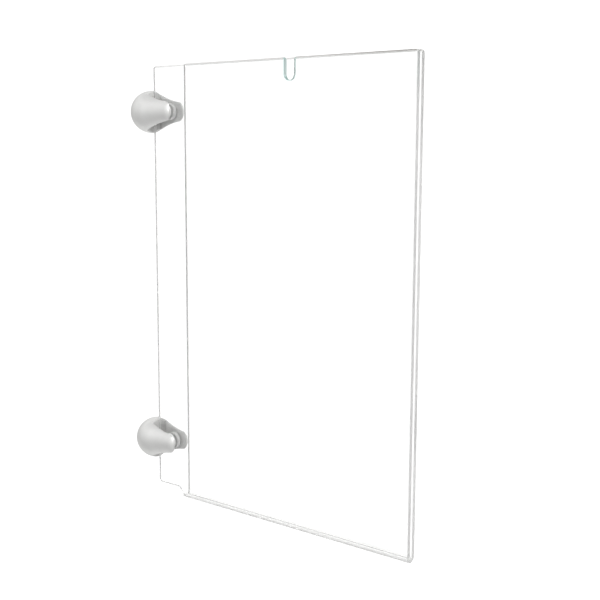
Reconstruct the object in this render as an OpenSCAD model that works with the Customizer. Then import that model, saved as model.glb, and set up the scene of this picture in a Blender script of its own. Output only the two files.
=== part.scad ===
// Acrylic sign pocket held edge-on to a wall by two slotted clamps.
// X points out of the wall, Y to the back of the pocket, Z up.
// The origin lies on the wall, midway between the two clamps.

/* [Pocket] */
// Width of the front panel
pocket_w = 178; // [120:1:300]
// Height of the pocket from the bend to the top edge
pocket_h = 292; // [200:1:440]
// Thickness of the acrylic sheet
sheet_t = 3; // [2:0.25:4.5]
// Room between the two panels for the sign card
pocket_gap = 1.5; // [1:0.25:4]
// Radius of the panels' free corners
corner_r = 3; // [1:0.5:8]

/* [Flange] */
// Width of the back panel's margin beside the front panel
flange_w = 33; // [32:0.5:60]
// Height of the flange's lower edge above the bend
flange_rise = 5; // [4.9:0.1:12]
// Length of the slanting edge that runs from the flange round the bend
relief_run = 20; // [12:0.5:28]

/* [Thumb notch] */
// Width of the notch in the front panel
notch_w = 7.5; // [6:0.5:30]
// Depth of the notch from the top edge
notch_d = 13.5; // [8:0.5:40]
// Distance of the notch to the right of the panel's middle
notch_shift = -1; // [-30:0.5:30]

/* [Clamp body] */
// Diameter of the ball end
ball_d = 28; // [26:0.5:34]
// Distance of the ball's centre from the wall
ball_x = 10.5; // [9.5:0.25:12.5]
// Bevel round the face that lies on the wall
base_bevel = 0.5; // [0.2:0.1:1]
// Diameter of the nose where its hollow sweep is narrowest
nose_d = 18.6; // [17:0.2:22]
// Distance of that narrowest place from the wall
sweep_end = 36.3; // [34:0.1:42]
// Length of the clamp from the wall to the end of the nose
clamp_len = 35.9; // [35:0.1:42]
// Radius round the end of the nose
nose_round = 5; // [2:0.25:6]
// Distance of the upper clamp's axis from the flange's upper edge
upper_inset = 30; // [18:0.5:60]
// Distance of the lower clamp's axis from the flange's lower edge
lower_inset = 31.5; // [18:0.5:60]

/* [Slot] */
// Width of the slot between the jaws
slot_w = 12.7; // [11.5:0.1:14]
// Distance of the slot's floor from the wall
slot_floor = 13.6; // [12.5:0.1:16]
// Room between the slot's floor and the edge of the flange
edge_gap = 0.5; // [0.2:0.1:1.5]

/* [Pads and screws] */
// Distance of the screw's axis from the wall
screw_x = 25.7; // [24:0.1:27]
// Nominal diameter of the screw's thread
screw_d = 6; // [4:0.5:6]
// Depth of the screw's end below the sweep
screw_recess = 0.5; // [0:0.1:1]
// Width across the flats of the screw's socket
socket_af = 3; // [1.5:0.5:3]
// Depth of the screw's socket
socket_d = 2.6; // [1.5:0.1:3]
// Diameter of both pads
pad_d = 11; // [8:0.5:12.5]
// Thickness of the swivel pad
swivel_t = 3; // [2.8:0.1:3.2]
// Bevel round the pads' faces
pad_bevel = 0.4; // [0.2:0.1:0.8]
// Diameter of the front pad's stem
stem_d = 5; // [3:0.5:6]
// Length of the front pad's stem in its jaw
stem_len = 2; // [1:0.1:2.4]
// Diameter of the ball on the screw's tip
tip_d = 3; // [2:0.25:3]
// Diameter of the neck behind the ball
neck_d = 1.8; // [1:0.1:1.8]
// Distance of the ball's centre from the swivel pad's rear face
tip_depth = 0.9; // [0.7:0.05:1]

/* [Wall fixing] */
// Nominal diameter of the tapped hole in the wall face
wall_hole_d = 6; // [4:0.5:8]
// Depth of the tapped hole
wall_hole_depth = 9; // [4:0.25:11]

/* [Clearances] */
// Radial clearance of a piece that turns in its seat
turn_fit = 0.05; // [0.02:0.01:0.1]
// Room between the flange and the closed swivel pad
closed_gap = 0.05; // [0.02:0.01:0.1]
// Room between the swivel pad and the screw's shoulder
shoulder_gap = 0.3; // [0.2:0.05:0.6]

/* [Hidden] */
$fn = 96;
// overshoot of a cutting tool past the face that it cuts
past = 1;

// the pocket's place: the back panel lies in the middle of the slots
bend_in = pocket_gap / 2;
bend_out = bend_in + sheet_t;
bend_y = -sheet_t / 2 - bend_in;
flange_h = pocket_h - flange_rise;
clamp_spacing = flange_h - upper_inset - lower_inset;
top_z = clamp_spacing / 2 + upper_inset;
flange_z = top_z - flange_h;
bottom_z = top_z - pocket_h;
bend_z = bottom_z + bend_out;
flange_x = slot_floor + edge_gap;
front_x = flange_x + flange_w;
right_x = front_x + pocket_w;
// the slanting edge is straight on the flat sheet, so it turns evenly round the bend
bend_len = PI * (bend_in + bend_out) / 2;
relief_len = flange_z - bend_z + bend_len;
bend_run = relief_run * bend_len / relief_len;

// the clamp's turned outline: a ball, a hollow sweep that touches it, and a round end that touches the sweep
ball_r = ball_d / 2;
nose_r = nose_d / 2;
sweep_run = sweep_end - ball_x;
sweep_r = (sweep_run * sweep_run / (ball_r - nose_r) - ball_r - nose_r) / 2;
sweep_at = [nose_r + sweep_r, sweep_end];
touch = ball_r / (ball_r + sweep_r);
touch_at = [touch * sweep_at[0], ball_x + touch * sweep_run];
base_r = sqrt(ball_r * ball_r - ball_x * ball_x);
end_x = clamp_len - nose_round;
end_r = sweep_at[0] - sqrt(pow(sweep_r + nose_round, 2) - pow(sweep_end - end_x, 2));

// places along the screw's axis, measured from the middle of the slot
jaw_y = slot_w / 2;
sheet_y = sheet_t / 2;
swivel_y = sheet_y + closed_gap;
swivel_back = swivel_y + swivel_t;
tip_y = swivel_back - tip_depth;
shoulder_y = swivel_back + shoulder_gap;
screw_end = sweep_at[0] - sqrt(sweep_r * sweep_r - pow(sweep_end - screw_x, 2)) - screw_recess;

// a flat panel between two depths, from an outline in X and Z
module panel(y, t) {
    translate([0, y + t, 0])
        rotate([90, 0, 0])
            linear_extrude(t)
                children();
}

// the waste outside a rounded corner, which points to +X and +Z
module corner_waste(r) {
    difference() {
        translate([-r, -r])
            square(r + past);
        translate([-r, -r])
            circle(r);
    }
}

// a round piece along +Y from one depth to the next
module round_y(d, y0, y1) {
    translate([0, y0, 0])
        rotate([-90, 0, 0])
            cylinder(d = d, h = y1 - y0);
}

// half of a pad's section: radius against depth, with a bevel of its own on each face
module pad_section(y0, y1, bevel0, bevel1) {
    r = pad_d / 2;
    polygon([
        [0, y0], [r - bevel0, y0], [r, y0 + bevel0],
        [r, y1 - bevel1], [r - bevel1, y1], [0, y1]
    ]);
}

// a section turned about the +Y axis
module turned_y() {
    rotate([-90, 0, 0])
        rotate_extrude()
            children();
}

// the section of the folded sheet, round the centre of its bend: Y to the right, Z up
module sheet_section() {
    panel_h = top_z - bend_z;
    difference() {
        union() {
            circle(bend_out);
            translate([-bend_out, 0])
                square([2 * bend_out, panel_h]);
        }
        circle(bend_in);
        translate([-bend_in, 0])
            square([2 * bend_in, panel_h + past]);
    }
}

module along_x(x, len) {
    translate([x, bend_y, bend_z])
        rotate([90, 0, 90])
            linear_extrude(len)
                children();
}

// what is cut off the front panel alone: its free corner and the notch
module front_waste() {
    notch_r = notch_w / 2;
    translate([front_x, top_z])
        rotate(90)
            corner_waste(corner_r);
    translate([front_x + pocket_w / 2 + notch_shift, top_z - notch_d + notch_r]) {
        circle(notch_r);
        translate([-notch_r, 0])
            square([notch_w, notch_d]);
    }
}

module folded_sheet() {
    front_y = bend_y - bend_out;
    difference() {
        along_x(front_x, pocket_w)
            sheet_section();
        panel(front_y - past, 2 * (bend_out + past))
            translate([right_x, top_z])
                corner_waste(corner_r);
        panel(front_y - past, past + sheet_t + bend_in)
            front_waste();
    }
}

// the flange runs on into the back panel by a sheet's thickness
module flange() {
    panel(-sheet_y, sheet_t)
        difference() {
            polygon([
                [flange_x, flange_z], [front_x - relief_run, flange_z], [front_x - bend_run, bend_z],
                [front_x + sheet_t, bend_z], [front_x + sheet_t, top_z], [flange_x, top_z]
            ]);
            translate([flange_x, flange_z])
                rotate(180)
                    corner_waste(corner_r);
            translate([flange_x, top_z])
                rotate(90)
                    corner_waste(corner_r);
        }
}

// the bend beside the front panel, cut by a half plane that turns round it with the slanting edge
module relieved_bend() {
    reach = bend_out + past;
    difference() {
        along_x(front_x - bend_run, bend_run + sheet_t)
            difference() {
                sheet_section();
                translate([-reach, 0])
                    square([reach, pocket_h]);
            }
        translate([front_x - bend_run, bend_y, bend_z])
            rotate([90, 0, 90])
                linear_extrude(bend_run, twist = 180, slices = 36, $fn = 4)
                    translate([-reach, -reach])
                        square([2 * reach, reach]);
    }
}

module pocket() {
    color([0.86, 0.93, 0.93, 0.35]) {
        folded_sheet();
        flange();
        relieved_bend();
    }
}

// half of the clamp's turned section: radius against distance from the wall
module clamp_section() {
    difference() {
        intersection() {
            union() {
                translate([0, ball_x])
                    circle(ball_r);
                difference() {
                    polygon([[0, ball_x], touch_at, sweep_at, [end_r, end_x], [0, end_x]]);
                    translate(sweep_at)
                        circle(sweep_r);
                }
                translate([end_r, end_x])
                    circle(nose_round);
                square([end_r, clamp_len]);
            }
            square([ball_r, clamp_len]);
        }
        polygon([
            [base_r - base_bevel, -past], [base_r - base_bevel, 0],
            [base_r + base_bevel, 2 * base_bevel], [base_r + past + base_bevel, -past]
        ]);
    }
}

module clamp_body() {
    color([0.78, 0.78, 0.77])
        difference() {
            rotate([0, 90, 0])
                rotate_extrude()
                    clamp_section();
            translate([slot_floor, -jaw_y, -ball_d / 2 - past])
                cube([clamp_len, slot_w, ball_d + 2 * past]);
            translate([-past, 0, 0])
                rotate([0, 90, 0])
                    cylinder(d = wall_hole_d, h = wall_hole_depth + past);
            translate([screw_x, 0, 0]) {
                round_y(screw_d + 2 * turn_fit, 0, ball_d);
                round_y(stem_d + 2 * turn_fit, -jaw_y - stem_len - turn_fit, 0);
            }
        }
}

module front_pad() {
    color([0.62, 0.64, 0.65])
        translate([screw_x, 0, 0]) {
            turned_y()
                pad_section(-jaw_y, -sheet_y, 0, pad_bevel);
            round_y(stem_d, -jaw_y - stem_len, -jaw_y);
        }
}

module swivel_pad() {
    color([0.62, 0.64, 0.65])
        translate([screw_x, 0, 0])
            turned_y()
                difference() {
                    pad_section(swivel_y, swivel_back, pad_bevel, pad_bevel);
                    translate([0, tip_y])
                        circle(d = tip_d + 2 * turn_fit);
                }
}

module clamp_screw() {
    color([0.45, 0.46, 0.48])
        translate([screw_x, 0, 0])
            difference() {
                union() {
                    translate([0, tip_y, 0])
                        sphere(d = tip_d);
                    round_y(neck_d, tip_y, shoulder_y);
                    round_y(screw_d, shoulder_y, screw_end);
                }
                translate([0, screw_end - socket_d, 0])
                    rotate([-90, 0, 0])
                        cylinder(d = socket_af / cos(30), h = socket_d + past, $fn = 6);
            }
}

module at_upper() {
    translate([0, 0, clamp_spacing / 2])
        children();
}

module at_lower() {
    translate([0, 0, -clamp_spacing / 2])
        children();
}

pocket();
at_upper() clamp_body();  // upper_clamp_body
at_upper() front_pad();  // upper_front_pad
at_upper() swivel_pad();  // upper_swivel_pad
at_upper() clamp_screw();  // upper_clamp_screw
at_lower() clamp_body();  // lower_clamp_body
at_lower() front_pad();  // lower_front_pad
at_lower() swivel_pad();  // lower_swivel_pad
at_lower() clamp_screw();  // lower_clamp_screw
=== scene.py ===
import math
import bpy
import numpy as np
from mathutils import Matrix, Vector


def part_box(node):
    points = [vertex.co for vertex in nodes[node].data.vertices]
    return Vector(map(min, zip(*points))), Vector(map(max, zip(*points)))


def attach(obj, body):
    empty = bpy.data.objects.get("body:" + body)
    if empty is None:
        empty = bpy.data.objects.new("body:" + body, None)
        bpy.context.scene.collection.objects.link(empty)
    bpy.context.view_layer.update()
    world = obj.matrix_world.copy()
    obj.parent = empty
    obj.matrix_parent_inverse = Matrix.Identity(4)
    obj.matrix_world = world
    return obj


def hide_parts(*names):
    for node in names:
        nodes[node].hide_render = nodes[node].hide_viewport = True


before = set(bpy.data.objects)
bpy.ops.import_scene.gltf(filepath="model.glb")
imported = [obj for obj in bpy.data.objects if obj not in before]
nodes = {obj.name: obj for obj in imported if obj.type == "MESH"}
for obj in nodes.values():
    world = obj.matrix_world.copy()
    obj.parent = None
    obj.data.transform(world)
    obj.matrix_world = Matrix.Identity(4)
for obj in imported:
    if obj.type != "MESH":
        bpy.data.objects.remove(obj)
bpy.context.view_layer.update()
scene = bpy.context.scene
print("frame loaded:", len(nodes), "nodes")

# Camera: the photograph's own viewing angle, place and lens
photoView = {
    "place": (0.537136, -0.493321, 0.090213),
    "azimuth": 38.857,
    "elevation": 8.37,
    "roll": 0.256,
    "lens": 62.596,
    "sensor": 36.0,
    "nearest": 0.01,
    "farthest": 60.0,
}


def directionOf(azimuth, elevation):
    # level way by the azimuth, lifted by the elevation
    around, lift = math.radians(azimuth), math.radians(elevation)
    return Vector((math.sin(around) * math.cos(lift), -math.cos(around) * math.cos(lift), math.sin(lift)))


def placeCamera(values):
    # back points from the part to the camera; roll turns right and up about it
    around, roll = math.radians(values["azimuth"]), math.radians(values["roll"])
    back = directionOf(values["azimuth"], values["elevation"])
    level = Vector((math.cos(around), math.sin(around), 0.0))
    upright = back.cross(level)
    right = level * math.cos(roll) + upright * math.sin(roll)
    up = upright * math.cos(roll) - level * math.sin(roll)
    data = bpy.data.cameras.new("photoCamera")
    data.lens = values["lens"]
    data.sensor_width = values["sensor"]
    data.clip_start = values["nearest"]
    data.clip_end = values["farthest"]
    camera = bpy.data.objects.new("photoCamera", data)
    turn = Matrix((right, up, back)).transposed().to_4x4()
    camera.matrix_world = Matrix.Translation(values["place"]) @ turn
    scene.collection.objects.link(camera)
    scene.camera = camera
    return -back


lookAlong = placeCamera(photoView)
print("camera placed")


# Small helpers for node trees
def feed(tree, socket, value):
    if isinstance(value, bpy.types.NodeSocket):
        tree.links.new(value, socket)
    elif value is not None:
        socket.default_value = value


def mathNode(tree, operation, first, second=None, third=None, clamp=False):
    node = tree.nodes.new("ShaderNodeMath")
    node.operation = operation
    node.use_clamp = clamp
    for socket, value in zip(node.inputs, (first, second, third)):
        feed(tree, socket, value)
    return node.outputs[0]


def productOf(tree, first, *others):
    for other in others:
        first = mathNode(tree, "MULTIPLY", first, other)
    return first


def vectorNode(tree, operation, first, second=None):
    node = tree.nodes.new("ShaderNodeVectorMath")
    node.operation = operation
    feed(tree, node.inputs[0], first)
    feed(tree, node.inputs[1], second)
    return node.outputs["Value"] if operation == "DOT_PRODUCT" else node.outputs["Vector"]


def rampNode(tree, value, low, high, toLow, toHigh, smooth=True):
    node = tree.nodes.new("ShaderNodeMapRange")
    node.interpolation_type = "SMOOTHSTEP" if smooth else "LINEAR"
    labels = ("Value", "From Min", "From Max", "To Min", "To Max")
    for label, given in zip(labels, (value, low, high, toLow, toHigh)):
        feed(tree, node.inputs[label], given)
    return node.outputs["Result"]


def noiseNode(tree, where, scale, detail, dimensions="3D"):
    node = tree.nodes.new("ShaderNodeTexNoise")
    node.noise_dimensions = dimensions
    feed(tree, node.inputs["W" if dimensions == "1D" else "Vector"], where)
    feed(tree, node.inputs["Scale"], scale)
    feed(tree, node.inputs["Detail"], detail)
    return node.outputs[0]


def mixColour(tree, share, first, second):
    node = tree.nodes.new("ShaderNodeMix")
    node.data_type = "RGBA"
    feed(tree, node.inputs["Factor"], share)
    feed(tree, node.inputs["A"], first)
    feed(tree, node.inputs["B"], second)
    return node.outputs["Result"]


def makeGroup(name, inputs, outputs):
    tree = bpy.data.node_groups.new(name, "ShaderNodeTree")
    for label, kind in inputs:
        tree.interface.new_socket(label, in_out="INPUT", socket_type="NodeSocket" + kind)
    for label, kind in outputs:
        tree.interface.new_socket(label, in_out="OUTPUT", socket_type="NodeSocket" + kind)
    return tree, tree.nodes.new("NodeGroupInput").outputs, tree.nodes.new("NodeGroupOutput").inputs


def placeGroup(tree, group, **values):
    node = tree.nodes.new("ShaderNodeGroup")
    node.node_tree = group
    for label, value in values.items():
        feed(tree, node.inputs[label], value)
    return node.outputs


# Room: white behind the part as the photograph shows it, pale grey all round with a brighter band overhead
room = {
    "white": 1.18,
    "whiteWithin": 23.5,
    "greyBeyond": 32.0,
    "below": 0.57,
    "riseFrom": -0.6,
    "band": 1.0,
    "bandHeight": 38.0,
    "zenith": 0.6,
    "leftLoss": 0.1,
    "leftFrom": 0.3,
    "sweepGain": 0.4,
    "sweepHeight": (-0.5, -0.05),
    "sweepFacing": (0.4, 0.8),
    "floorDrop": 1.2,
    "floorRadius": 8.0,
    "floorSteps": 24,
    "floorAround": 96,
    "bounces": 96,
}


def roomGroup(values):
    # grey by height, rising from the floor to the band and falling to the zenith, less on the left;
    # a paler sweep low down behind the part, and white round the line of sight
    tree, given, out = makeGroup("paleRoom", [("Direction", "Vector")], [("Light", "Float")])
    toward = vectorNode(tree, "NORMALIZE", given["Direction"])
    height = vectorNode(tree, "DOT_PRODUCT", toward, (0.0, 0.0, 1.0))
    bandAt = math.sin(math.radians(values["bandHeight"]))
    rise = rampNode(tree, height, values["riseFrom"], bandAt, values["below"], values["band"])
    fall = rampNode(tree, height, bandAt, 1.0, 0.0, values["band"] - values["zenith"])
    around = math.radians(photoView["azimuth"])
    leftward = vectorNode(tree, "DOT_PRODUCT", toward, (-math.cos(around), -math.sin(around), 0.0))
    loss = rampNode(tree, leftward, values["leftFrom"], 1.0, 0.0, values["leftLoss"])
    grey = mathNode(tree, "SUBTRACT", mathNode(tree, "SUBTRACT", rise, fall), loss)
    facing = vectorNode(tree, "DOT_PRODUCT", toward, tuple(lookAlong))
    lowDown = rampNode(tree, height, *values["sweepHeight"], values["sweepGain"], 0.0)
    behind = rampNode(tree, facing, *values["sweepFacing"], 0.0, 1.0)
    grey = mathNode(tree, "MULTIPLY_ADD", lowDown, behind, grey)
    far, near = (math.cos(math.radians(values[key])) for key in ("greyBeyond", "whiteWithin"))
    share = rampNode(tree, facing, far, near, 0.0, 1.0)
    lift = mathNode(tree, "SUBTRACT", values["white"], grey)
    feed(tree, out["Light"], mathNode(tree, "MULTIPLY_ADD", share, lift, grey))
    return tree


def lightRoom(values):
    group = roomGroup(values)
    world = bpy.data.worlds.new("paleRoom")
    world.use_nodes = True
    tree = world.node_tree
    direction = tree.nodes.new("ShaderNodeTexCoord").outputs["Generated"]
    light = placeGroup(tree, group, Direction=direction)["Light"]
    background = tree.nodes["Background"]
    background.inputs["Color"].default_value = (1.0, 1.0, 1.0, 1.0)
    feed(tree, background.inputs["Strength"], light)
    scene.world = world
    return group


def anglesRound(count):
    return np.arange(count) * 2 * np.pi / count


def pieceOf(name, points, faces):
    mesh = bpy.data.meshes.new(name)
    mesh.from_pydata(points.tolist(), [], faces)
    mesh.polygons.foreach_set("use_smooth", np.ones(len(faces), bool))
    mesh.update()
    piece = bpy.data.objects.new(name, mesh)
    scene.collection.objects.link(piece)
    return piece


def surfaceOf(name, rows, startPole=None, endPole=None, wrapRows=False):
    # rows of points, closed round each row; a pole closes an end with a fan,
    # and wrapRows joins the last row to the first
    count, around = rows.shape[:2]
    index = np.arange(count * around).reshape(count, around)
    onward = np.roll(index, -1, axis=1)
    above = np.roll(index, -1, axis=0) if wrapRows else index[1:]
    aboveOnward = np.roll(onward, -1, axis=0) if wrapRows else onward[1:]
    below, belowOnward = (index, onward) if wrapRows else (index[:-1], onward[:-1])
    faces = np.stack([below, belowOnward, aboveOnward, above], axis=-1).reshape(-1, 4).tolist()
    points = rows.reshape(-1, 3)
    if startPole is not None:
        tip = np.full(around, len(points))
        points = np.vstack([points, startPole])
        faces += np.stack([tip, onward[0], index[0]], axis=-1).tolist()
    if endPole is not None:
        tip = np.full(around, len(points))
        points = np.vstack([points, endPole])
        faces += np.stack([tip, index[-1], onward[-1]], axis=-1).tolist()
    return pieceOf(name, points, faces)


def floorSheet(values, group):
    # disc: ring radius runs out in squared steps, angle runs round, at the height of the floor
    steps, around = values["floorSteps"], values["floorAround"]
    radius = values["floorRadius"] * (np.arange(1, steps + 1) / steps) ** 2
    angle = anglesRound(around)
    ring = np.stack([np.cos(angle), np.sin(angle), np.zeros(around)], axis=1)
    rows = radius[:, None, None] * ring[None]
    rows[:, :, 2] = -values["floorDrop"]
    floor = surfaceOf("paleFloor", rows, startPole=(0.0, 0.0, -values["floorDrop"]))
    material = bpy.data.materials.new("paleFloor")
    material.use_nodes = True
    tree = material.node_tree
    tree.nodes.remove(tree.nodes["Principled BSDF"])
    where = tree.nodes.new("ShaderNodeTexCoord").outputs["Object"]
    fromView = vectorNode(tree, "SUBTRACT", where, photoView["place"])
    emission = tree.nodes.new("ShaderNodeEmission")
    feed(tree, emission.inputs["Strength"], placeGroup(tree, group, Direction=fromView)["Light"])
    tree.links.new(emission.outputs[0], tree.nodes["Material Output"].inputs["Surface"])
    floor.data.materials.append(material)


# Side light: a softbox up on the right, which reaches into the clamps' slots
sideLight = {
    "azimuth": 56.0,
    "elevation": 34.0,
    "distance": 1.5,
    "size": (0.3, 0.4),
    "power": 9.0,
}


def softbox(name, values):
    toward = directionOf(values["azimuth"], values["elevation"])
    data = bpy.data.lights.new(name, "AREA")
    data.shape = "RECTANGLE"
    data.size, data.size_y = values["size"]
    data.energy = values["power"]
    box = bpy.data.objects.new(name, data)
    box.location = toward * values["distance"]
    box.rotation_euler = (-toward).to_track_quat("-Z", "Y").to_euler()
    box.visible_camera = False
    scene.collection.objects.link(box)


floorSheet(room, lightRoom(room))
softbox("sideFront", sideLight)
scene.view_settings.view_transform = "Standard"
scene.cycles.max_bounces = room["bounces"]
scene.cycles.transmission_bounces = room["bounces"]
scene.cycles.glossy_bounces = room["bounces"]
print("room lit")

# Tool rings: a fine tool pitch over a slower drift; depth is how far they stand in a bump
toolRings = {
    "fineScale": 1.0,
    "fineDetail": 2.0,
    "fineShare": 0.5,
    "slowScale": 0.06,
    "slowDetail": 1.0,
    "slowShare": 0.5,
    "depth": 0.00001,
}


def latheGroup(values):
    # uneven rings by the distance along an axis, counted in tool pitches
    tree, given, out = makeGroup(
        "latheRings", [("Along", "Float"), ("Pitch", "Float")], [("Height", "Float")]
    )
    turns = mathNode(tree, "DIVIDE", given["Along"], given["Pitch"])
    fine = noiseNode(tree, turns, values["fineScale"], values["fineDetail"], "1D")
    slow = noiseNode(tree, turns, values["slowScale"], values["slowDetail"], "1D")
    fine = mathNode(tree, "MULTIPLY", fine, values["fineShare"])
    feed(tree, out["Height"], mathNode(tree, "MULTIPLY_ADD", slow, values["slowShare"], fine))
    return tree


# Handling: soft smudges, and hairlines drawn out along one way
handling = {
    "smudgeDetail": 4.0,
    "smudgeFrom": (0.38, 0.68),
    "lineStretch": (1.0, 24.0, 9.0),
    "lineScale": 3.0,
    "lineDetail": 2.0,
    "lineFrom": (0.66, 0.74),
}


def handlingGroup(values):
    # smudges from a slow noise, hairlines from the peaks of a stretched one
    tree, given, out = makeGroup(
        "handlingMarks",
        [("Vector", "Vector"), ("Scale", "Float")],
        [("Smudge", "Float"), ("Hairline", "Float")],
    )
    smudge = noiseNode(tree, given["Vector"], given["Scale"], values["smudgeDetail"])
    feed(tree, out["Smudge"], rampNode(tree, smudge, *values["smudgeFrom"], 0.0, 1.0))
    drawn = vectorNode(tree, "MULTIPLY", given["Vector"], values["lineStretch"])
    scale = mathNode(tree, "MULTIPLY", given["Scale"], values["lineScale"])
    line = noiseNode(tree, drawn, scale, values["lineDetail"])
    feed(tree, out["Hairline"], rampNode(tree, line, *values["lineFrom"], 0.0, 1.0))
    return tree


latheRings = latheGroup(toolRings)
handlingMarks = handlingGroup(handling)


def newFinish(name):
    material = bpy.data.materials.new(name)
    material.use_nodes = True
    tree = material.node_tree
    coordinates = tree.nodes.new("ShaderNodeTexCoord")
    split = tree.nodes.new("ShaderNodeSeparateXYZ")
    tree.links.new(coordinates.outputs["Object"], split.inputs[0])
    return material, tree, tree.nodes["Principled BSDF"], coordinates, split.outputs


def marksOn(tree, coordinates, scale):
    return placeGroup(tree, handlingMarks, Vector=coordinates.outputs["Object"], Scale=scale)


def bumpNode(tree, shader, height, strength, distance):
    bump = tree.nodes.new("ShaderNodeBump")
    bump.inputs["Strength"].default_value = strength
    bump.inputs["Distance"].default_value = distance
    tree.links.new(height, bump.inputs["Height"])
    tree.links.new(bump.outputs["Normal"], shader.inputs["Normal"])


# Acrylic: clear polished faces, a little hazy in the bend where the sheet was heated
acrylic = {
    "index": 1.49,
    "clear": (1.0, 1.0, 1.0, 1.0),
    "smudgeAndShade": (0.985, 0.99, 0.988, 1.0),
    "markScale": 18.0,
    "smudgeHaze": 0.008,
    "hairlineHaze": 0.012,
    "bendColour": (0.985, 0.985, 0.975, 1.0),
    "bendTop": -0.1455,
    "bendRoughness": 0.45,
}


def acrylicFinish(values):
    material, tree, shader, coordinates, place = newFinish("clearAcrylic")
    marks = marksOn(tree, coordinates, values["markScale"])
    haze = mathNode(tree, "MULTIPLY", marks["Hairline"], values["hairlineHaze"])
    haze = mathNode(tree, "MULTIPLY_ADD", marks["Smudge"], values["smudgeHaze"], haze)
    bend = mathNode(tree, "LESS_THAN", place["Z"], values["bendTop"])
    tone = mixColour(tree, marks["Smudge"], values["clear"], values["smudgeAndShade"])
    feed(tree, shader.inputs["Base Color"], mixColour(tree, bend, tone, values["bendColour"]))
    rough = mathNode(tree, "MULTIPLY_ADD", bend, values["bendRoughness"], haze)
    feed(tree, shader.inputs["Roughness"], rough)
    shader.inputs["IOR"].default_value = values["index"]
    shader.inputs["Transmission Weight"].default_value = 1.0
    return material


# Sawn edges: frosted, with faint marks across the cut, paler low down as painted light, darker at the
# outer top corners as a painted reflection, dust turning to painted shade along the top, and greener in
# the thumb notch
sawnAcrylic = {
    "index": 1.49,
    "clearness": 0.78,
    "pale": (0.92, 0.92, 0.91, 1.0),
    "dark": (0.82, 0.82, 0.81, 1.0),
    "sawPitch": 0.0004,
    "sawShare": 0.6,
    "sawRoughness": 0.12,
    "sawBump": 0.2,
    "markScale": 40.0,
    "smudgeShare": 0.4,
    "roughness": 0.5,
    "lowRoughness": 0.36,
    "roughHeight": (-0.14, 0.14),
    # painted light: a paler tone low down, where the edges should look brighter
    "paintedLowLight": (0.98, 0.98, 0.97, 1.0),
    "lowLightShare": 0.75,
    "lowLightHeight": (-0.12, 0.03),
    # painted reflection: a darker grey at the outer top corners stands in for a dark reflection; the clear
    # faces use the same key for their smudges
    "smudgeAndShade": (0.60, 0.60, 0.58, 1.0),
    "cornerShadeShare": 0.45,
    "cornerShadeHeight": (0.112, 0.13),
    "cornerShadeReach": (0.15, 0.2),
    "dusty": (0.84, 0.825, 0.80, 1.0),
    # painted shade: the rounding along the top turns darker towards the outer end
    "paintedEdgeShade": (0.20, 0.18, 0.16, 1.0),
    "edgeShadeReach": (0.07, 0.25),
    "upwardFrom": (0.1, 0.6),
    "flatFrom": (0.88, 0.98),
    "sidewaysFrom": (0.1, 0.5),
    "flangeReach": (0.045, 0.06),
    "flangeShare": 0.2,
    "notchColour": (0.74, 0.98, 0.94, 1.0),
    "notchDeep": (0.45, 0.72, 0.68, 1.0),
    "notchAt": 0.1351,
    "notchHalf": 0.0044,
    "notchFloor": 0.1285,
    "notchBack": -0.00225,
    "notchFacing": (-0.6, 0.2),
}


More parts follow.
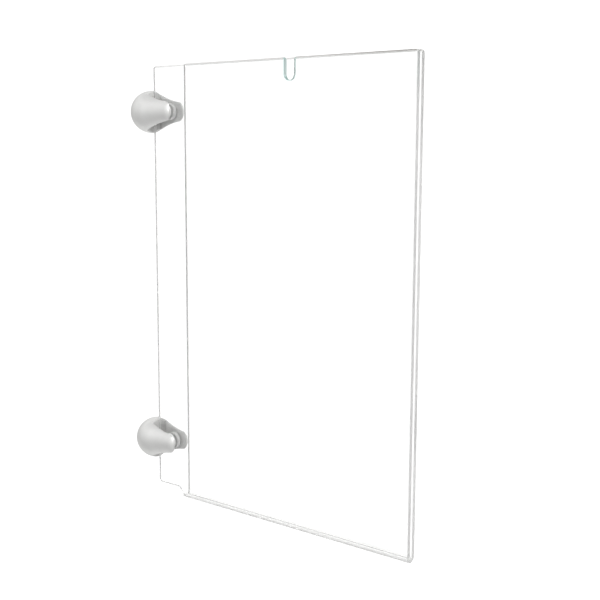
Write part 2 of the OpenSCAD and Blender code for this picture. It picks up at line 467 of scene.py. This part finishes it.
def sawnFinish(values):
    material, tree, shader, coordinates, place = newFinish("sawnEdge")
    split = tree.nodes.new("ShaderNodeSeparateXYZ")
    tree.links.new(coordinates.outputs["Normal"], split.inputs[0])
    facing = split.outputs
    along = mathNode(tree, "ADD", place["X"], place["Z"])
    saw = placeGroup(tree, latheRings, Along=along, Pitch=values["sawPitch"])["Height"]
    marks = marksOn(tree, coordinates, values["markScale"])
    shade = mathNode(tree, "MULTIPLY", saw, values["sawShare"])
    shade = mathNode(tree, "MULTIPLY_ADD", marks["Smudge"], values["smudgeShare"], shade)
    tone = mixColour(tree, shade, values["pale"], values["dark"])
    # painted light: the tone turns paler low down
    low = rampNode(tree, place["Z"], *values["lowLightHeight"], values["lowLightShare"], 0.0)
    tone = mixColour(tree, low, tone, values["paintedLowLight"])
    # painted reflection: darker towards the outer top corners
    high = rampNode(tree, place["Z"], *values["cornerShadeHeight"], 0.0, values["cornerShadeShare"])
    high = productOf(tree, high, rampNode(tree, place["X"], *values["cornerShadeReach"], 0.0, 1.0))
    tone = mixColour(tree, high, tone, values["smudgeAndShade"])
    # notch: near its middle, above its floor and in the front panel alone
    fromNotch = mathNode(tree, "ABSOLUTE", mathNode(tree, "SUBTRACT", place["X"], values["notchAt"]))
    inNotch = productOf(
        tree,
        mathNode(tree, "LESS_THAN", fromNotch, values["notchHalf"]),
        mathNode(tree, "GREATER_THAN", place["Z"], values["notchFloor"]),
        mathNode(tree, "LESS_THAN", place["Y"], values["notchBack"]),
    )
    upward = rampNode(tree, facing["Z"], *values["upwardFrom"], 0.0, 1.0)
    outward = rampNode(tree, facing["X"], *values["notchFacing"], 0.0, 1.0)
    notchTone = mixColour(tree, upward, values["notchColour"], values["notchDeep"])
    tone = mixColour(tree, productOf(tree, inNotch, outward), tone, notchTone)
    # top: the rounding under the flat top, less the corners, the notch and most of the flange, painted
    # with dust near the flange turning into painted shade towards the outer end
    onTop = productOf(
        tree,
        upward,
        rampNode(tree, facing["Z"], *values["flatFrom"], 1.0, 0.0),
        rampNode(tree, mathNode(tree, "ABSOLUTE", facing["X"]), *values["sidewaysFrom"], 1.0, 0.0),
        rampNode(tree, place["X"], *values["flangeReach"], values["flangeShare"], 1.0),
        mathNode(tree, "SUBTRACT", 1.0, inNotch),
    )
    outer = rampNode(tree, place["X"], *values["edgeShadeReach"], 0.0, 1.0)
    dustAndEdgeShade = mixColour(tree, outer, values["dusty"], values["paintedEdgeShade"])
    feed(tree, shader.inputs["Base Color"], mixColour(tree, onTop, tone, dustAndEdgeShade))
    lowest, highest = values["roughHeight"]
    rough = rampNode(
        tree, place["Z"], lowest, highest, values["lowRoughness"], values["roughness"], smooth=False
    )
    rough = mathNode(tree, "SUBTRACT", rough, values["sawRoughness"] / 2)
    rough = mathNode(tree, "MULTIPLY_ADD", saw, values["sawRoughness"], rough)
    feed(tree, shader.inputs["Roughness"], rough)
    shader.inputs["IOR"].default_value = values["index"]
    shader.inputs["Transmission Weight"].default_value = values["clearness"]
    bumpNode(tree, shader, saw, values["sawBump"], toolRings["depth"])
    return material


# Clamp bodies: satin turned aluminium, with a milled slot painted paler as painted light and darker
# towards its floor as painted shade, and a brighter rub along the slot's lips
satinMetal = {
    "bright": (0.84, 0.84, 0.83, 1.0),
    "dull": (0.77, 0.77, 0.76, 1.0),
    "rim": (0.62, 0.62, 0.61, 1.0),
    # painted light: the slot's faces are painted paler; painted shade: darker towards the slot's floor
    "milled": (0.96, 0.96, 0.95, 1.0),
    "deep": (0.66, 0.66, 0.65, 1.0),
    "rubbed": (0.9, 0.9, 0.89, 1.0),
    "metal": 0.75,
    "slotMetal": 0.15,
    "roughness": 0.32,
    "smudgeRoughness": 0.06,
    "toolRoughness": 0.05,
    "slotRoughness": 0.18,
    "rubRoughness": -0.08,
    "markScale": 160.0,
    "smudgeShare": 0.35,
    "toolShare": 0.45,
    "ringPitch": 0.00018,
    "millPitch": 0.00035,
    "toolBump": 0.25,
    "slotHalf": 0.00642,
    "lipRun": 0.0005,
    "slotFloor": 0.0124,
    "slotShadeFrom": 0.001,
    "slotShadeRun": 0.0035,
}


def satinFinish(values):
    material, tree, shader, coordinates, place = newFinish("satinAluminium")
    across = mathNode(tree, "ABSOLUTE", place["Y"])
    beyondFloor = mathNode(tree, "GREATER_THAN", place["X"], values["slotFloor"])
    inSlot = productOf(tree, mathNode(tree, "LESS_THAN", across, values["slotHalf"]), beyondFloor)
    notSlot = mathNode(tree, "SUBTRACT", 1.0, inSlot)
    rings = placeGroup(tree, latheRings, Along=place["X"], Pitch=values["ringPitch"])["Height"]
    milled = placeGroup(tree, latheRings, Along=place["Z"], Pitch=values["millPitch"])["Height"]
    tool = mathNode(tree, "MULTIPLY_ADD", milled, inSlot, mathNode(tree, "MULTIPLY", rings, notSlot))
    marks = marksOn(tree, coordinates, values["markScale"])
    fromLip = mathNode(tree, "SUBTRACT", across, values["slotHalf"])
    rub = productOf(tree, rampNode(tree, fromLip, 0.0, values["lipRun"], 1.0, 0.0), notSlot, beyondFloor)
    shade = mathNode(tree, "MULTIPLY", tool, values["toolShare"])
    shade = mathNode(tree, "MULTIPLY_ADD", marks["Smudge"], values["smudgeShare"], shade)
    tone = mixColour(tree, shade, values["bright"], values["dull"])
    # painted shade darkens the slot towards its floor, over a tone painted paler as painted light
    shadeStart, shadeEnd = (values["slotFloor"] + values[key] for key in ("slotShadeFrom", "slotShadeRun"))
    depth = rampNode(tree, place["X"], shadeStart, shadeEnd, 1.0, 0.0)
    tone = mixColour(tree, inSlot, tone, mixColour(tree, depth, values["milled"], values["deep"]))
    feed(tree, shader.inputs["Base Color"], mixColour(tree, rub, tone, values["rubbed"]))
    shares = {
        "smudgeRoughness": marks["Smudge"],
        "toolRoughness": tool,
        "slotRoughness": inSlot,
        "rubRoughness": rub,
    }
    rough = values["roughness"]
    for key, share in shares.items():
        rough = mathNode(tree, "MULTIPLY_ADD", share, values[key], rough)
    feed(tree, shader.inputs["Roughness"], rough)
    loss = values["slotMetal"] - values["metal"]
    feed(tree, shader.inputs["Metallic"], mathNode(tree, "MULTIPLY_ADD", inSlot, loss, values["metal"]))
    shader.inputs["Specular Tint"].default_value = values["rim"]
    bumpNode(tree, shader, tool, values["toolBump"], toolRings["depth"])
    return material


# Clamping screws' lines, as far above the middle as below it
screwLine = {
    "x": 0.0257,
    "z": 0.11275,
}


def fromScrewLine(tree, place):
    # root of the sum of the two squared distances from the nearer screw's line
    fromX = mathNode(tree, "SUBTRACT", place["X"], screwLine["x"])
    fromZ = mathNode(tree, "SUBTRACT", mathNode(tree, "ABSOLUTE", place["Z"]), screwLine["z"])
    squared = mathNode(tree, "MULTIPLY_ADD", fromX, fromX, mathNode(tree, "MULTIPLY", fromZ, fromZ))
    return mathNode(tree, "SQRT", squared)


# Pads: turned pale nylon, rings about the screw's line
padPlastic = {
    "pale": (0.88, 0.88, 0.87, 1.0),
    "worn": (0.80, 0.80, 0.79, 1.0),
    "roughness": 0.26,
    "smudgeRoughness": 0.12,
    "hairlineRoughness": 0.1,
    "markScale": 240.0,
    "smudgeShare": 0.5,
    "ringShare": 0.4,
    "ringPitch": 0.00022,
    "ringBump": 0.3,
}


def padFinish(values):
    material, tree, shader, coordinates, place = newFinish("paleNylon")
    along = mathNode(tree, "ADD", fromScrewLine(tree, place), place["Y"])
    rings = placeGroup(tree, latheRings, Along=along, Pitch=values["ringPitch"])["Height"]
    marks = marksOn(tree, coordinates, values["markScale"])
    shade = mathNode(tree, "MULTIPLY", rings, values["ringShare"])
    shade = mathNode(tree, "MULTIPLY_ADD", marks["Smudge"], values["smudgeShare"], shade)
    feed(tree, shader.inputs["Base Color"], mixColour(tree, shade, values["pale"], values["worn"]))
    rough = mathNode(tree, "MULTIPLY_ADD", marks["Smudge"], values["smudgeRoughness"], values["roughness"])
    rough = mathNode(tree, "MULTIPLY_ADD", marks["Hairline"], values["hairlineRoughness"], rough)
    feed(tree, shader.inputs["Roughness"], rough)
    bumpNode(tree, shader, rings, values["ringBump"], toolRings["depth"])
    return material


# Screws: bright steel, darker in the thread's roots
screwSteel = {
    "bright": (0.62, 0.62, 0.61, 1.0),
    "dark": (0.40, 0.40, 0.39, 1.0),
    "roughness": 0.28,
    "smudgeRoughness": 0.12,
    "crestRoughness": -0.06,
    "rootRadius": 0.00248,
    "crestRadius": 0.0030,
    "markScale": 420.0,
    "smudgeLoss": -0.3,
    "smudgeBump": 0.15,
    "smudgeDepth": 0.00002,
}


def steelFinish(values):
    material, tree, shader, coordinates, place = newFinish("brightSteel")
    radius = fromScrewLine(tree, place)
    crest = rampNode(tree, radius, values["rootRadius"], values["crestRadius"], 0.0, 1.0)
    marks = marksOn(tree, coordinates, values["markScale"])
    shine = mathNode(tree, "MULTIPLY_ADD", marks["Smudge"], values["smudgeLoss"], crest, clamp=True)
    feed(tree, shader.inputs["Base Color"], mixColour(tree, shine, values["dark"], values["bright"]))
    rough = mathNode(tree, "MULTIPLY_ADD", marks["Smudge"], values["smudgeRoughness"], values["roughness"])
    rough = mathNode(tree, "MULTIPLY_ADD", crest, values["crestRoughness"], rough)
    feed(tree, shader.inputs["Roughness"], rough)
    shader.inputs["Metallic"].default_value = 1.0
    bumpNode(tree, shader, marks["Smudge"], values["smudgeBump"], values["smudgeDepth"])
    return material


clearAcrylic = acrylicFinish(acrylic)
sawnEdge = sawnFinish(sawnAcrylic)
satinAluminium = satinFinish(satinMetal)
paleNylon = padFinish(padPlastic)
brightSteel = steelFinish(screwSteel)
nodeFinish = {
    "pocket": clearAcrylic,
    "clamp_body": satinAluminium,
    "front_pad": paleNylon,
    "swivel_pad": paleNylon,
    "clamp_screw": brightSteel,
}
for ending, finish in nodeFinish.items():
    for nodeName, node in nodes.items():
        if nodeName.endswith(ending):
            node.data.materials.clear()
            node.data.materials.append(finish)
print("finishes laid on the packed nodes")

# Sheet: the cut outline on the flat, in width and developed length, carried round the bend and given its
# thickness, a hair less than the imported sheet's, so that light gets in between it and the pads on it
sheet = {
    "flangeX": 0.0141,
    "frontX": 0.0471,
    "rightX": 0.2251,
    "topZ": 0.14275,
    "bendZ": -0.1455,
    "bendY": -0.00225,
    "bendRadius": 0.00225,
    "bendSteps": 40,
    "bendMargin": 0.00005,
    "thickness": 0.00296,
    "cornerRadius": 0.0015,
    "flangeRise": 0.00125,
    "reliefRun": 0.0136,
    "reliefRadius": 0.004,
    "kneeRun": 0.0082,
    "kneeLength": 0.0032,
    "kneeRadius": 0.003,
    "notchX": 0.1351,
    "notchHalf": 0.00375,
    "notchDepth": 0.0135,
    "notchFloorShare": 0.998,
    "lipRadius": 0.0012,
    "edgeRadius": 0.0004,
    "topEdgeRadius": 0.00105,
    "edgeSteps": 4,
}


def filletArc(corner, before, after, radius, steps=16):
    # arc that touches both sides of a corner: the centre lies on the bisector,
    # and the radius turns from side to side
    corner = np.array(corner)
    toBefore = (before - corner) / np.linalg.norm(before - corner)
    toAfter = (after - corner) / np.linalg.norm(after - corner)
    half = math.acos(np.clip(toBefore @ toAfter, -1.0, 1.0)) / 2
    bisector = (toBefore + toAfter) / np.linalg.norm(toBefore + toAfter)
    centre = corner + bisector * radius / math.sin(half)
    first = (corner + toBefore * radius / math.tan(half) - centre) / radius
    last = (corner + toAfter * radius / math.tan(half) - centre) / radius
    turn = math.acos(np.clip(first @ last, -1.0, 1.0))
    share = np.linspace(0.0, 1.0, steps)[:, None]
    swing = np.sin((1 - share) * turn) * first + np.sin(share * turn) * last
    return centre + radius * swing / math.sin(turn)


def filletPath(points, radii):
    # open path with every inner corner rounded
    points = np.array(points)
    inner = range(1, len(points) - 1)
    arcs = [filletArc(points[i], points[i - 1], points[i + 1], radii[i]) for i in inner]
    return np.vstack([points[:1]] + arcs + [points[-1:]])


def sheetOutline(values):
    # closed outline as front run, right bend rows, back run and left bend rows;
    # length is negative on the front panel
    flangeX, frontX, rightX = (values[key] for key in ("flangeX", "frontX", "rightX"))
    corner, lip, relief = (values[key] for key in ("cornerRadius", "lipRadius", "reliefRadius"))
    height = values["topZ"] - values["bendZ"]
    bendLength, margin = math.pi * values["bendRadius"], values["bendMargin"]
    backTop, flangeLow = bendLength + height, bendLength + values["flangeRise"]
    onFlange = (flangeX + values["reliefRun"] / 4, flangeLow)
    knee = (frontX - values["kneeRun"], values["kneeLength"])
    notchLeft, notchRight = (values["notchX"] + side * values["notchHalf"] for side in (-1, 1))
    notchLow = values["notchDepth"] - height
    floor = values["notchFloorShare"] * values["notchHalf"]
    left = filletPath(
        [onFlange, (frontX - values["reliefRun"], flangeLow), knee, (frontX, 0.0), (frontX, -height / 2)],
        [0.0, relief, values["kneeRadius"], relief, 0.0],
    )
    rows = np.linspace(0.0, bendLength, values["bendSteps"] + 1)
    leftX = np.interp(-rows, -left[:, 1], left[:, 0])
    rightRows = np.stack([np.full(len(rows), rightX), rows], axis=1)
    leftRows = np.stack([leftX, rows], axis=1)[::-1]
    front = filletPath(
        [(frontX, -height / 2), (frontX, -height), (notchLeft, -height), (notchLeft, notchLow),
         (notchRight, notchLow), (notchRight, -height), (rightX, -height), (rightX, -height / 2)],
        [0.0, corner, lip, floor, floor, lip, corner, 0.0],
    )
    back = filletPath(
        [(rightX, backTop / 2), (rightX, backTop), (flangeX, backTop), (flangeX, flangeLow), onFlange],
        [0.0, corner, corner, corner, 0.0],
    )
    frontRun = np.vstack([left[left[:, 1] < -margin][:-1], front])
    backRun = np.vstack([back[:-1], left[left[:, 1] > bendLength + margin][1:]])
    return frontRun, rightRows, backRun, leftRows


def carrySheet(values, flat, out):
    # width stays; length runs down the front, by its angle round the bend and up the back;
    # out is along the normal
    bendRadius = values["bendRadius"]
    angle = np.clip(flat[..., 1] / bendRadius, 0.0, math.pi)
    beyond = flat[..., 1] - angle * bendRadius
    reach = bendRadius + out
    place = np.empty(flat.shape[:-1] + (3,))
    place[..., 0] = flat[..., 0]
    place[..., 1] = values["bendY"] - reach * np.cos(angle)
    place[..., 2] = values["bendZ"] - reach * np.sin(angle) + np.abs(beyond)
    return place


def makeSheet(values):
    runs = sheetOutline(values)
    outline = np.vstack(runs)
    counts = np.cumsum([0] + [len(run) for run in runs])
    # inward way at each point: across the mean of the two sides' directions,
    # lengthened so the sides stay parallel
    along = np.roll(outline, -1, axis=0) - outline
    along /= np.linalg.norm(along, axis=1, keepdims=True)
    mean = along + np.roll(along, 1, axis=0)
    mean /= np.linalg.norm(mean, axis=1, keepdims=True)
    stretch = 1.0 / np.sum(mean * along, axis=1, keepdims=True)
    inward = np.stack([-mean[:, 1], mean[:, 0]], axis=1) * stretch
    # edge profile: a quarter round from each face down to the sawn edge, larger along the top
    bendLength = math.pi * values["bendRadius"]
    fromTop = values["topZ"] - values["bendZ"] - np.maximum(-outline[:, 1], outline[:, 1] - bendLength)
    nearTop = np.clip(1 - fromTop / values["cornerRadius"], 0.0, 1.0)
    radius = values["edgeRadius"] + (values["topEdgeRadius"] - values["edgeRadius"]) * nearTop
    quarter = np.linspace(0.0, np.pi / 2, values["edgeSteps"] + 1)[:, None]
    inset = radius * (1 - np.sin(quarter))
    drop = values["thickness"] / 2 - radius * (1 - np.cos(quarter))
    insets = np.vstack([inset, inset[::-1]])
    outs = np.vstack([drop, -drop[::-1]])
    flat = outline[None] + insets[..., None] * inward[None]
    # lengths stay on their own side of the bend, so the flat faces stay flat
    flat[:, :counts[1], 1] = np.minimum(flat[:, :counts[1], 1], 0.0)
    flat[:, counts[2]:counts[3], 1] = np.maximum(flat[:, counts[2]:counts[3], 1], bendLength)
    for first, stop in ((counts[1], counts[2]), (counts[3], counts[4])):
        flat[:, first:stop, 1] = np.clip(outline[None, first:stop, 1], 0.0, bendLength)
    rows = carrySheet(values, flat, outs)
    total, last = len(outline), (len(outs) - 1) * len(outline)
    index = np.arange(rows.shape[0] * total).reshape(-1, total)
    onward = np.roll(index, -1, axis=1)
    band = np.stack([index[:-1], onward[:-1], onward[1:], index[1:]], axis=-1).reshape(-1, 4).tolist()
    # faces of the sheet: one flat face in front, strips round the bend, one flat face at the back
    rightRow = np.arange(counts[1], counts[2])
    leftRow = np.arange(counts[3], counts[4])[::-1]
    strips = np.stack([rightRow[:-1], leftRow[:-1], leftRow[1:], rightRow[1:]], axis=-1)
    frontFace = np.concatenate([leftRow[:1], np.arange(counts[0], counts[1]), rightRow[:1]])[::-1]
    backFace = np.concatenate([rightRow[-1:], np.arange(counts[2], counts[3]), leftRow[-1:]])[::-1]
    flats = [frontFace.tolist(), backFace.tolist()]
    flats += [(frontFace[::-1] + last).tolist(), (backFace[::-1] + last).tolist()]
    bends = strips.tolist() + (strips[:, ::-1] + last).tolist()
    faces = band + bends + flats
    piece = pieceOf("foldedSheet", rows.reshape(-1, 3), faces)
    order = np.arange(len(faces))
    piece.data.polygons.foreach_set("use_smooth", order < len(band) + len(bends))
    piece.data.polygons.foreach_set("material_index", (order < len(band)).astype(np.int32))
    piece.data.materials.append(clearAcrylic)
    piece.data.materials.append(sawnEdge)
    piece.data.update()
    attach(piece, "pocket_and_clamps")
    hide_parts("pocket")


makeSheet(sheet)
print("sheet folded")

# Clamp bodies: a ball, a hollow sweep and a round nose turned about X, less the slot and the holes,
# with rounded lips; the grid is counted in cells
clampForm = {
    "ballX": 0.0105,
    "ballRadius": 0.014,
    "sweepX": 0.0363,
    "waist": 0.0093,
    "length": 0.0359,
    "noseRound": 0.005,
    "baseRound": 0.0004,
    "slotHalf": 0.00635,
    "slotFloor": 0.0136,
    "lipRound": 0.0010,
    "screwX": screwLine["x"],
    "screwHole": 0.00305,
    "stemHole": 0.00255,
    "stemFloor": -0.0084,
    "wallHole": 0.003,
    "wallDepth": 0.009,
    "holeRound": 0.0003,
    "cell": 0.0004,
    "gridStart": (-2.5, -38.5, -38.5),
    "gridCounts": (96, 78, 78),
    "eases": (0.5, 0.5, 0.5, 0.3, 0.0, 0.0),
    "walks": 3,
    "slopeStep": 0.01,
    "leastSlope": 0.25,
}


def inBoth(first, second, radius):
    # distance to what lies in both forms, with the edge between them rounded
    deep = np.minimum(np.maximum(first, second), -radius)
    return deep + np.hypot(np.maximum(first + radius, 0.0), np.maximum(second + radius, 0.0))


def clampDistance(values, at):
    # distance to ball, sweep or nose by the place along X, then cut by the wall's plane, the slot and
    # the holes in turn; the sweep's circle touches the ball's and the nose's
    x, y, z = at[..., 0], at[..., 1], at[..., 2]
    radius = np.hypot(y, z)
    ballX, ballRadius, sweepX, waist = (values[key] for key in ("ballX", "ballRadius", "sweepX", "waist"))
    noseRound, holeRound = values["noseRound"], values["holeRound"]
    run = sweepX - ballX
    sweepRadius = (run ** 2 / (ballRadius - waist) - ballRadius - waist) / 2
    sweepOut = waist + sweepRadius
    noseX = values["length"] - noseRound
    noseOut = sweepOut - math.sqrt((sweepRadius + noseRound) ** 2 - (sweepX - noseX) ** 2)
    ballTouch = ballX + run * ballRadius / (ballRadius + sweepRadius)
    noseTouch = noseX + (sweepX - noseX) * noseRound / (noseRound + sweepRadius)
    ball = np.hypot(x - ballX, radius) - ballRadius
    sweep = sweepRadius - np.hypot(x - sweepX, radius - sweepOut)
    nose = np.hypot(x - noseX, np.maximum(radius - noseOut, 0.0)) - noseRound
    turned = np.where(x < ballTouch, ball, np.where(x < noseTouch, sweep, nose))
    form = inBoth(turned, -x, values["baseRound"])
    outsideSlot = np.minimum(values["slotHalf"] - np.abs(y), x - values["slotFloor"])
    form = inBoth(form, outsideSlot, values["lipRound"])
    form = inBoth(form, np.minimum(values["wallHole"] - radius, values["wallDepth"] - x), holeRound)
    fromScrew = np.hypot(x - values["screwX"], z)
    form = inBoth(form, np.minimum(values["screwHole"] - fromScrew, y), holeRound)
    stem = np.minimum(np.minimum(values["stemHole"] - fromScrew, -y), y - values["stemFloor"])
    return inBoth(form, stem, holeRound)


def netOf(distance, low, cell):
    # one point in each cell that the surface crosses, one face round each grid edge that it cuts
    inside = distance < 0
    size = np.array(inside.shape)
    parts = [inside[i:size[0] - 1 + i, j:size[1] - 1 + j, k:size[2] - 1 + k]
             for i in (0, 1) for j in (0, 1) for k in (0, 1)]
    filled = np.sum(parts, axis=0)
    crossed = (filled > 0) & (filled < len(parts))
    index = np.full(crossed.shape, -1)
    index[crossed] = np.arange(np.count_nonzero(crossed))
    points = low + (np.argwhere(crossed) + 0.5) * cell
    faces = []
    for axis in range(3):
        turned = np.moveaxis(inside, axis, 0)
        cells = np.moveaxis(index, axis, 0)
        here = turned[:-1, 1:-1, 1:-1]
        ahead = turned[1:, 1:-1, 1:-1]
        corners = [cells[:, :-1, :-1], cells[:, 1:, :-1], cells[:, 1:, 1:], cells[:, :-1, 1:]]
        ring = np.stack(corners, axis=-1)
        flip = axis == 1
        faces.append(ring[here & ~ahead][:, ::-1 if flip else 1])
        faces.append(ring[~here & ahead][:, ::1 if flip else -1])
    return points, np.vstack(faces)


def settlePoints(values, points, faces):
    # points ease towards their neighbours, then walk down the distance's slope on to the surface
    cell, step = values["cell"], values["cell"] * values["slopeStep"]
    shifts = np.eye(3) * step
    ends = np.roll(faces, -1, axis=1)
    neighbours = np.bincount(faces.ravel(), minlength=len(points))[:, None] * 2
    for ease in values["eases"]:
        total = np.zeros_like(points)
        np.add.at(total, faces.ravel(), points[ends.ravel()])
        np.add.at(total, ends.ravel(), points[faces.ravel()])
        points = points + ease * (total / neighbours - points)
        for walk in range(values["walks"]):
            ahead = [clampDistance(values, points + shift) for shift in shifts]
            behind = [clampDistance(values, points - shift) for shift in shifts]
            slope = (np.stack(ahead, axis=-1) - np.stack(behind, axis=-1)) / (2 * step)
            steep = np.maximum(np.sum(slope ** 2, axis=-1), values["leastSlope"])
            move = slope * (clampDistance(values, points) / steep)[:, None]
            points = points - np.clip(move, -cell, cell)
    return points


def makeClamps(values):
    cell = values["cell"]
    low = np.array(values["gridStart"]) * cell
    spans = [np.arange(count) * cell for count in values["gridCounts"]]
    grid = np.stack(np.meshgrid(*spans, indexing="ij"), axis=-1) + low
    points, faces = netOf(clampDistance(values, grid), low, cell)
    points = settlePoints(values, points, faces)
    for side in ("upper", "lower"):
        boxLow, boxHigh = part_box(side + "_clamp_body")
        lift = np.array([0.0, 0.0, (boxLow.z + boxHigh.z) / 2])
        piece = pieceOf(side + "Clamp", points + lift, faces.tolist())
        piece.data.materials.append(satinAluminium)
        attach(piece, "pocket_and_clamps")
        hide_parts(side + "_clamp_body")


makeClamps(clampForm)
print("clamps formed")

# Threads: flat at crest and root, with flanks between
threadForm = {
    "pitch": 0.001,
    "steepness": 1.6,
    "rootFlat": 0.3,
    "sharpAngle": 38.0,
}


def threadHeight(along, angle):
    # rises and falls by the phase, which is the length in pitches less the share of the turn
    phase = np.mod(along / threadForm["pitch"] - angle / (2 * np.pi), 1.0)
    rise = 1.0 - np.abs(2.0 * phase - 1.0)
    return np.clip(threadForm["steepness"] * rise - threadForm["rootFlat"], 0.0, 1.0)


# Set screw: ball tip, neck, threaded shank and hexagon socket, carried round the screw's line
setScrew = {
    "x": screwLine["x"],
    "tipY": 0.00365,
    "tipRadius": 0.0015,
    "tipRows": 22,
    "neckRadius": 0.0009,
    "shoulderY": 0.00485,
    "rearY": 0.00975,
    "shankRows": 84,
    "crestRadius": 0.0030,
    "rootRadius": 0.00246,
    "runOut": 0.0004,
    "socketAcross": 0.003,
    "socketDepth": 0.0026,
    "socketCone": 0.0005,
    "mouthRelief": 0.00012,
    "mouthBevel": 0.00018,
    "around": 96,
}


def screwRows(values, z):
    angle = anglesRound(values["around"])
    tip, root = values["tipRadius"], values["rootRadius"]
    # ball: radius is the sine and height the cosine of the angle from the tip, up to the neck
    sweep = np.linspace(0.0, np.pi - math.asin(values["neckRadius"] / tip), values["tipRows"])[1:]
    plainY = np.append(values["tipY"] - tip * np.cos(sweep), values["shoulderY"])
    plainRadius = np.append(tip * np.sin(sweep), root)
    # shank: thread height over the root, run out to nothing at both ends
    shankY = np.linspace(values["shoulderY"], values["rearY"], values["shankRows"])[1:]
    edge = np.minimum(shankY - values["shoulderY"], values["rearY"] - shankY)
    full = np.clip(edge / values["runOut"], 0.0, 1.0)[:, None]
    lift = threadHeight(shankY[:, None], angle[None]) * full
    shankRadius = root + (values["crestRadius"] - root) * lift
    # socket: the hexagon's radius is half the flats over the cosine of the angle from the nearest flat
    nearest = np.mod(angle + np.pi / 6, np.pi / 3) - np.pi / 6
    half = 0.5 * values["socketAcross"]
    hexRadius = half / np.cos(nearest)
    mouth = np.full_like(angle, half / math.cos(np.pi / 6) + values["mouthRelief"])
    rear, floor = values["rearY"], values["rearY"] - values["socketDepth"]
    socketRadius = np.stack([mouth, hexRadius, hexRadius, 0.5 * hexRadius])
    socketY = np.array([rear, rear - values["mouthBevel"], floor, floor - 0.5 * values["socketCone"]])
    plainRows = np.repeat(plainRadius[:, None], len(angle), axis=1)
    radius = np.vstack([plainRows, shankRadius, socketRadius])
    along = np.concatenate([plainY, shankY, socketY])
    rows = np.empty(radius.shape + (3,))
    rows[..., 0] = values["x"] + radius * np.sin(angle)
    rows[..., 1] = along[:, None]
    rows[..., 2] = z + radius * np.cos(angle)
    poles = (values["x"], values["tipY"] - tip, z), (values["x"], floor - values["socketCone"], z)
    return rows, poles


def makeScrews(values):
    for side in ("upper", "lower"):
        low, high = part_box(side + "_clamp_screw")
        rows, poles = screwRows(values, (low.z + high.z) / 2)
        screw = surfaceOf(side + "SetScrew", rows, *poles)
        screw.data.set_sharp_from_angle(angle=math.radians(threadForm["sharpAngle"]))
        screw.data.materials.append(brightSteel)
        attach(screw, side + "_screw")
        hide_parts(side + "_clamp_screw")


makeScrews(setScrew)
print("set screws threaded")

# Wall thread: a cut thread lining each tapped hole in the clamps' wall faces
wallThread = {
    "outer": 0.00298,
    "minor": 0.00246,
    "least": 0.00003,
    "start": 0.00015,
    "depth": 0.0087,
    "mouth": 0.0007,
    "cutShare": 0.92,
    "innerRows": 100,
    "outerRows": 12,
    "around": 72,
}


def threadRows(values, z):
    # ring of rows: out along the cut thread, which opens at the mouth, and back in along a plain cylinder
    angle = anglesRound(values["around"])
    inX = np.linspace(values["depth"], values["start"], values["innerRows"])
    mouth = np.clip(1.0 - inX / values["mouth"], 0.0, 1.0)[:, None]
    cut = np.maximum(threadHeight(inX[:, None], angle[None]) * values["cutShare"], mouth)
    innerRadius = values["minor"] + (values["outer"] - values["least"] - values["minor"]) * cut
    outX = np.linspace(values["start"], values["depth"], values["outerRows"])
    outerRadius = np.full((len(outX), len(angle)), values["outer"])
    radius = np.vstack([innerRadius, outerRadius])
    rows = np.empty(radius.shape + (3,))
    rows[..., 0] = np.concatenate([inX, outX])[:, None]
    rows[..., 1] = radius * np.cos(angle)
    rows[..., 2] = z + radius * np.sin(angle)
    return rows


def makeWallThreads(values):
    for side in ("upper", "lower"):
        low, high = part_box(side + "_clamp_body")
        rows = threadRows(values, (low.z + high.z) / 2)
        thread = surfaceOf(side + "WallThread", rows, wrapRows=True)
        thread.data.set_sharp_from_angle(angle=math.radians(threadForm["sharpAngle"]))
        thread.data.materials.append(satinAluminium)
        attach(thread, "pocket_and_clamps")


makeWallThreads(wallThread)
print("wall holes threaded")
